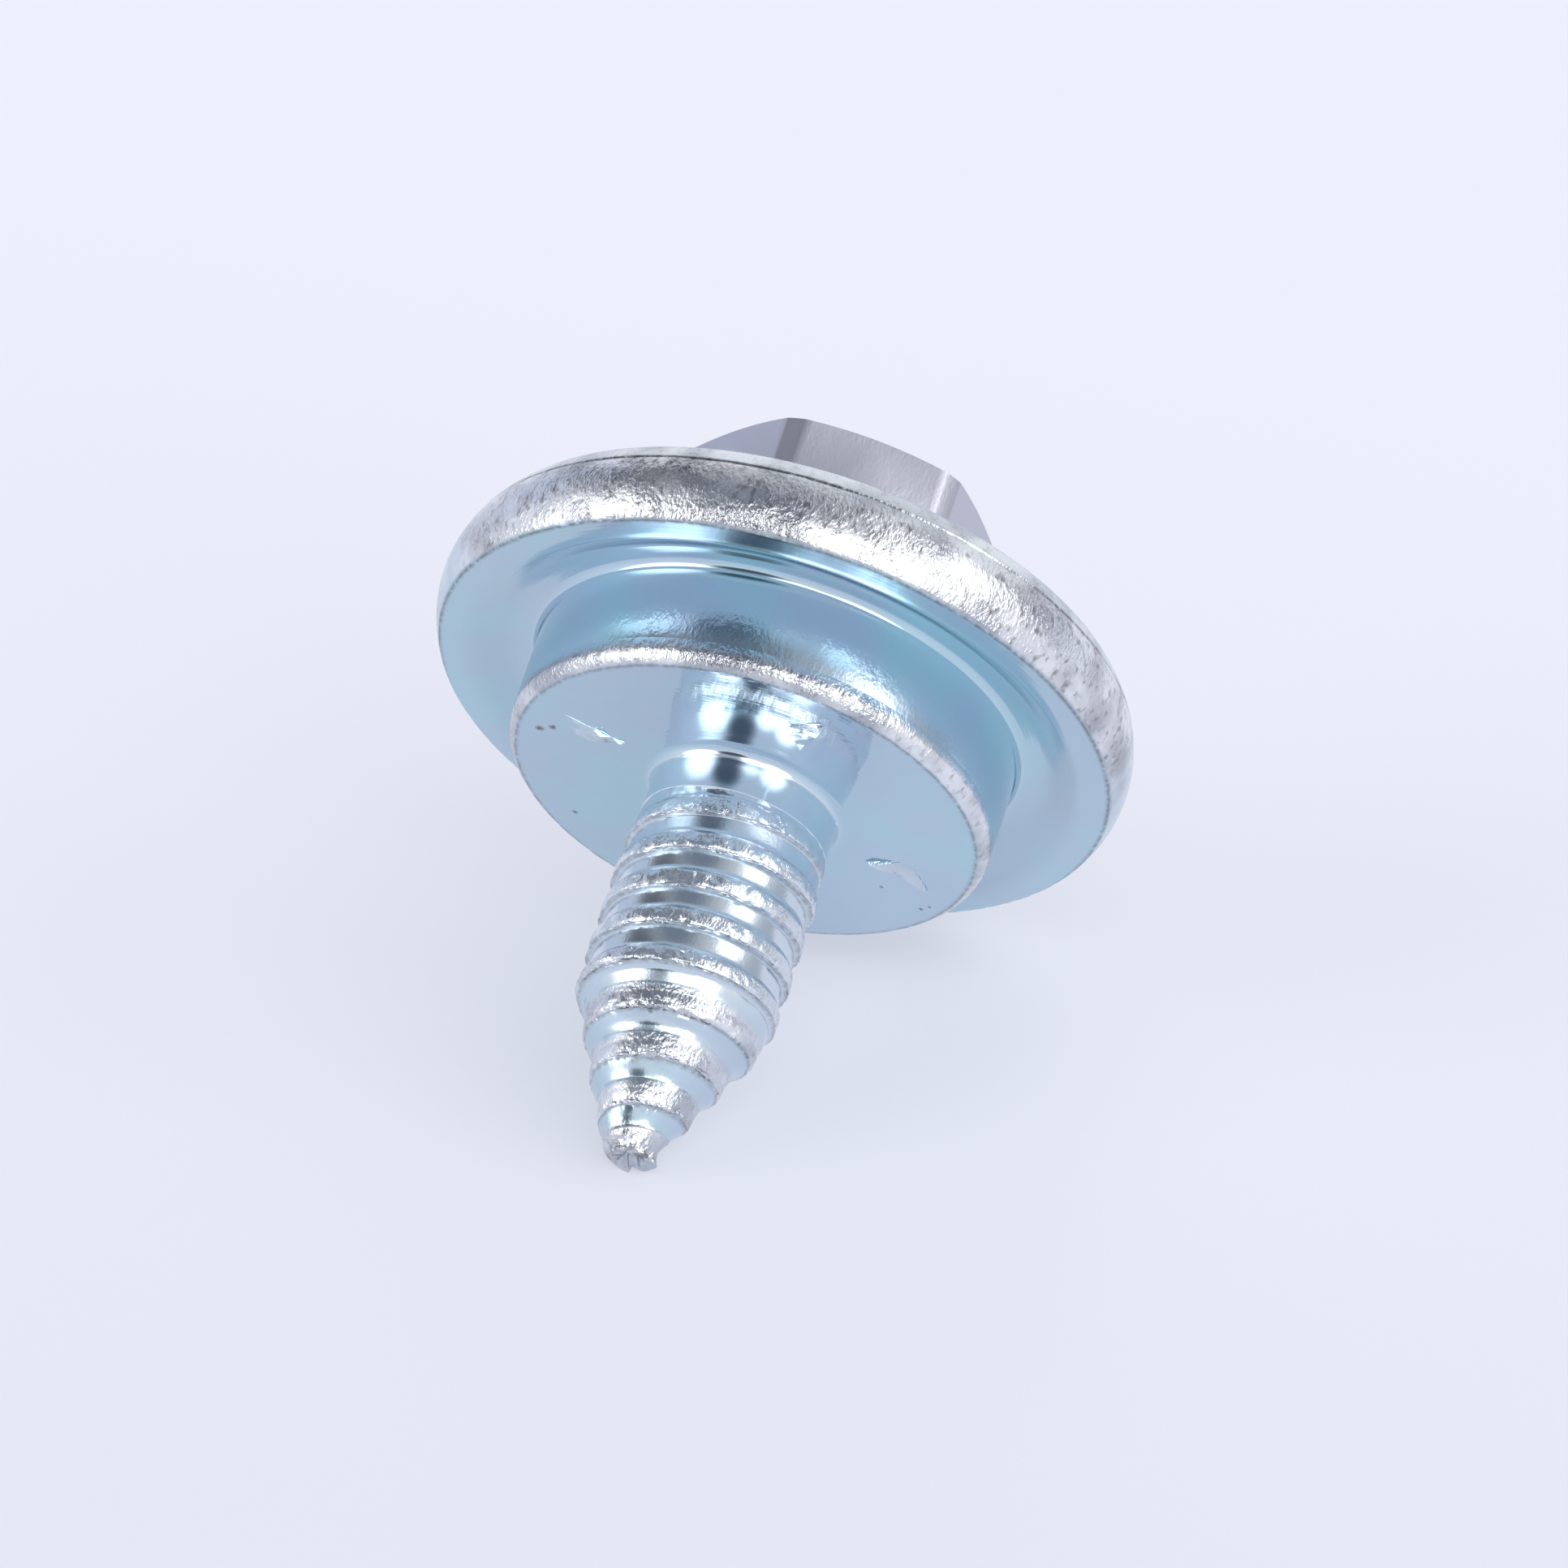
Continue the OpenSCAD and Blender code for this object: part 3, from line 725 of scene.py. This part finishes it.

# %% Zinc plate: dark lines, painted shade and reflection, and small marks
# Each small mark on the collar's face has a distance from the axis, a turn and a size.
MARKS = [
    (5.5, -155, 0.14),
    (5.8, -158, 0.16),
    (4.64, 46, 0.08),
    (5.92, 45, 0.08),
    (6.0, 42, 0.06),
    (5.5, 160, 0.1),
]
# The dark lines, with their painted shade and painted dark reflection, are broken into dashes by the pits,
# and the small marks join them.
line_dashes = add(tree, "ShaderNodeMapRange", {"Value": pits, "From Min": 0.25, "From Max": 0.55})
dark_lines_shade_and_marks = add(tree, "ShaderNodeMath", {0: dark_lines_and_shade_value, 1: line_dashes}, operation="MULTIPLY")
for out_by, turned, size in MARKS:
    spot = Vector((out_by * math.cos(math.radians(turned)), out_by * math.sin(math.radians(turned)), FACE_Z))
    away = add(tree, "ShaderNodeVectorMath", {0: own, 1: spot}, out="Value", operation="DISTANCE")
    ragged = add(tree, "ShaderNodeMath", {0: grit, 1: size, 2: away}, operation="MULTIPLY_ADD")
    mark = add(
        tree,
        "ShaderNodeMapRange",
        {"Value": ragged, "From Min": 1.5 * size, "From Max": 0.7 * size, "To Max": 0.8},
    )
    dark_lines_shade_and_marks = add(tree, "ShaderNodeMath", {0: dark_lines_shade_and_marks, 1: mark}, operation="MAXIMUM")
# One dark brown paints the dark lines, the small marks, and the painted shade and reflection at the seat's
# edge and in the groove.
plate = add(tree, "ShaderNodeMix", {"Factor": dark_lines_shade_and_marks, "A": bare, "B": linear("#5B4E47")}, data_type="RGBA")
tree.links.new(plate, shader.inputs["Base Color"])
print("zinc plate nodes:", len(tree.nodes))

# %% Zinc plate: gloss and relief
# The smooth zones are a near mirror with faint turning lines about 0.1 mm apart. The grain
# tips the plate in fine facets, so it sparkles, more in some patches than in others.
lines = add(
    tree,
    "ShaderNodeTexNoise",
    {"W": from_axis, "Scale": 1 / 0.1, "Detail": 1.0},
    out="Fac",
    noise_dimensions="1D",
)
smooth_rough = add(tree, "ShaderNodeMapRange", {"Value": film, "To Min": 0.04, "To Max": 0.1})
even_rough = add(tree, "ShaderNodeMix", {"Factor": satin_value, "A": smooth_rough, "B": 0.4})
grain_rough = add(tree, "ShaderNodeMapRange", {"Value": cloud, "To Min": 0.1, "To Max": 0.3})
rough = add(tree, "ShaderNodeMix", {"Factor": grain_value, "A": even_rough, "B": grain_rough})
tree.links.new(rough, shader.inputs["Roughness"])
uneven = add(tree, "ShaderNodeMath", {0: pits, 1: 1.1, 2: grit}, operation="MULTIPLY_ADD")
patchy = add(
    tree,
    "ShaderNodeMapRange",
    {"Value": cloud, "From Min": 0.38, "From Max": 0.6, "To Min": 1.3, "To Max": 0.5},
)
coarse = add(tree, "ShaderNodeMath", {0: uneven, 1: patchy}, operation="MULTIPLY")
faint = add(tree, "ShaderNodeMath", {0: lines, 1: 0.05}, operation="MULTIPLY")
relief = add(tree, "ShaderNodeMix", {"Factor": grain_value, "A": faint, "B": coarse})
bumps = add(tree, "ShaderNodeBump", {"Height": relief, "Strength": 1.0, "Distance": 0.03 * MM})
tree.links.new(bumps, shader.inputs["Normal"])
shader.inputs["Metallic"].default_value = 1.0
body.data.materials.clear()
body.data.materials.append(zinc)
print("zinc plate nodes:", len(tree.nodes))

# %% [markdown]
# ## Floor, light and camera
# The screw lies on a plain pale sheet. The light is a soft studio tent: pale all round, a
# little darker straight up, with soft boxes that give the metal its bright bands and a few
# dark gaps between them. Lamps could light it too, but bright metal shows what stands round
# it, so the tent is drawn on the world. The camera has a long lens, which keeps the ellipses
# of the flange almost true.

# %% Floor
# Part of the sheet's white is its own for the camera and for reflections, so it stays pale and
# keeps a faint shadow. It is painted a little greyer in front than at the back, as painted shade
# on a plain sheet.
bpy.ops.object.select_all(action="DESELECT")
bpy.ops.mesh.primitive_plane_add(size=3)
floor = bpy.context.object
floor.name = "floor"
sheet = bpy.data.materials.new("pale_matt_sheet")
sheet.use_nodes = True
paper = sheet.node_tree
paper_shader = paper.nodes["Principled BSDF"]
on_sheet = add(paper, "ShaderNodeTexCoord", out="Object")
to_back = add(paper, "ShaderNodeSeparateXYZ", {"Vector": on_sheet}, out="Y")
depth = add(paper, "ShaderNodeMapRange", {"Value": to_back, "From Min": -30 * MM, "From Max": 45 * MM})
# Painted shade: the sheet's colour darkens towards the front.
shade = add(
    paper,
    "ShaderNodeMix",
    {"Factor": depth, "A": linear("#E7EAF5"), "B": linear("#EFF1FC")},
    data_type="RGBA",
)
paper.links.new(shade, paper_shader.inputs["Base Color"])
paper_shader.inputs["Roughness"].default_value = 0.4
paper_shader.inputs["Specular IOR Level"].default_value = 0.25
seen = add(paper, "ShaderNodeLightPath", out="Is Camera Ray")
mirrored = next(s for s in seen.node.outputs if s.name == "Is Glossy Ray")
either = add(paper, "ShaderNodeMath", {0: seen, 1: mirrored}, operation="MAXIMUM")
own_white = add(paper, "ShaderNodeMath", {0: either, 1: 0.55}, operation="MULTIPLY")
glow = add(paper, "ShaderNodeEmission", {"Color": shade, "Strength": 1.0})
mixed = add(paper, "ShaderNodeMixShader", {0: own_white, 1: paper_shader.outputs[0], 2: glow})
paper.links.new(mixed, paper.nodes["Material Output"].inputs["Surface"])
floor.data.materials.append(sheet)
print("floor, m:", floor.dimensions[:2])

# %% Patches of the studio tent
# Each patch of the tent lies so many degrees to the right of straight up and so many to the
# back, is even up to an inner angle and fades out at an outer one. A brightness of 1 is white.
WALL = "#F4F5F9"
PATCHES = {
    "right wall, back": (68, 52, 10, 32, "#DDE3EE", 0.65),
    "left wall, back": (-70, 40, 12, 32, "#D4DEF2", 0.88),
    "roof": (-12, -5, 15, 60, "#DCDFE6", 0.58),
    "gap in the roof": (-8, -8, 8, 28, "#BAC6DA", 0.38),
    "dark beam": (-42, 18, 6, 22, "#C4C8D4", 0.24),
    "right box, front": (46, -42, 8, 20, "#FFFFFF", 3.6),
    "right box, middle": (54, -8, 6, 18, "#FFFFFF", 2.8),
    "right box, back": (50, 12, 6, 16, "#FFFFFF", 2.6),
    "front box": (16, -42, 6, 18, "#FFFFFF", 3.2),
    "left box": (-54, -40, 11, 26, "#FFFFFF", 3.0),
    "beside the camera": (-14, -61, 8, 20, "#B8C2DC", 0.22),
}
print("tent patches:", len(PATCHES))

# %% The tent round the screw
world = bpy.data.worlds.new("studio_tent")
bpy.context.scene.world = world
world.use_nodes = True
tent = world.node_tree
toward = add(tent, "ShaderNodeTexCoord", out="Generated")
light = linear(WALL)
for right, rear, inner, outer, tint, bright in PATCHES.values():
    lean = math.radians(math.hypot(right, rear))
    middle = Vector((right, rear, 0)).normalized() * math.sin(lean) + Vector((0, 0, math.cos(lean)))
    facing = add(tent, "ShaderNodeVectorMath", {0: toward, 1: middle}, out="Value", operation="DOT_PRODUCT")
    limits = {"From Min": math.cos(math.radians(outer)), "From Max": math.cos(math.radians(inner))}
    inside = add(tent, "ShaderNodeMapRange", {"Value": facing, **limits}, interpolation_type="SMOOTHSTEP")
    colour = (*[bright * c for c in linear(tint)[:3]], 1)
    light = add(tent, "ShaderNodeMix", {"Factor": inside, "A": light, "B": colour}, data_type="RGBA")
tent.links.new(light, tent.nodes["Background"].inputs["Color"])
tent.nodes["Background"].inputs["Strength"].default_value = 1.0
print("tent nodes:", len(tent.nodes))

# %% Camera
AZIMUTH, ELEVATION = math.radians(19.13), math.radians(26.04)
SIGHT, FOCAL_PX, FRAME_PX = 0.4324, 20000, 1932
AIM_RIGHT, AIM_UP = 0.30 * MM, -1.70 * MM
back = Vector(
    (
        math.sin(AZIMUTH) * math.cos(ELEVATION),
        -math.cos(AZIMUTH) * math.cos(ELEVATION),
        math.sin(ELEVATION),
    )
)
turn = (-back).to_track_quat("-Z", "Y")
aim = SEAT + turn @ Vector((AIM_RIGHT, AIM_UP, 0))
bpy.ops.object.camera_add(location=aim + back * SIGHT, rotation=turn.to_euler())
camera = bpy.context.object
camera.data.sensor_width = 36
camera.data.lens = 36 * FOCAL_PX / FRAME_PX
camera.data.clip_start, camera.data.clip_end = 0.01, 20
bpy.context.scene.camera = camera
bpy.context.scene.view_settings.view_transform = "Standard"
print("lens, mm:", round(camera.data.lens, 1))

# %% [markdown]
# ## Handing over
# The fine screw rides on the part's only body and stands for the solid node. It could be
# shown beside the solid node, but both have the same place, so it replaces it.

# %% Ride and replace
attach(body, "root")
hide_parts("screw")
